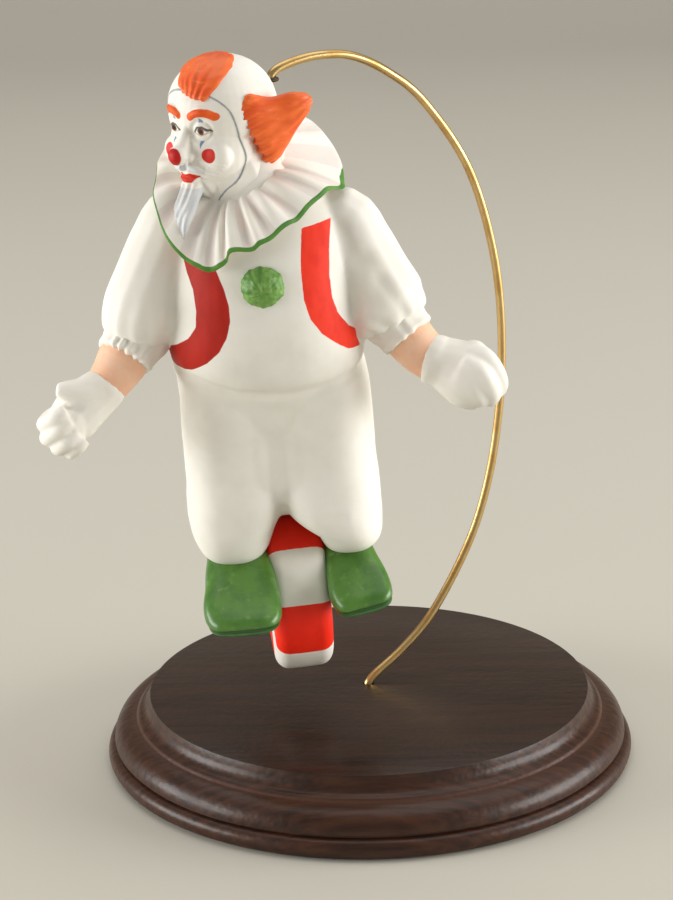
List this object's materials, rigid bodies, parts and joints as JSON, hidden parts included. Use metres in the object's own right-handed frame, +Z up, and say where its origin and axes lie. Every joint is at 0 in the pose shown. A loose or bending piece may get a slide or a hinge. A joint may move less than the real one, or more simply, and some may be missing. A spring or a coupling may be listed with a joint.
{
  "type": "clown figurine",
  "caption": "Hollow porcelain clown on a thick striped wheel, hung by an eye at the back of the head from a curved brass rod in a turned round wood base.",
  "frame": {"origin": "centre of the wood base's flat underside", "axes": "+Z up through the base, -Y toward the figure's front, +X to the viewer's right; metres"},
  "size_m": [0.1489, 0.1398, 0.1913],
  "materials": {
    "bisque": "matt unglazed porcelain, hand painted",
    "dark_wire": "dark oxidised wire",
    "brass": "polished",
    "stained_wood": "dark stain under satin varnish"
  },
  "bodies": {
    "root": {"clown_figurine": "bisque", "hanging_eye": "dark_wire", "brass_rod": "brass", "wood_base": "stained_wood"}
  },
  "joints": []
}
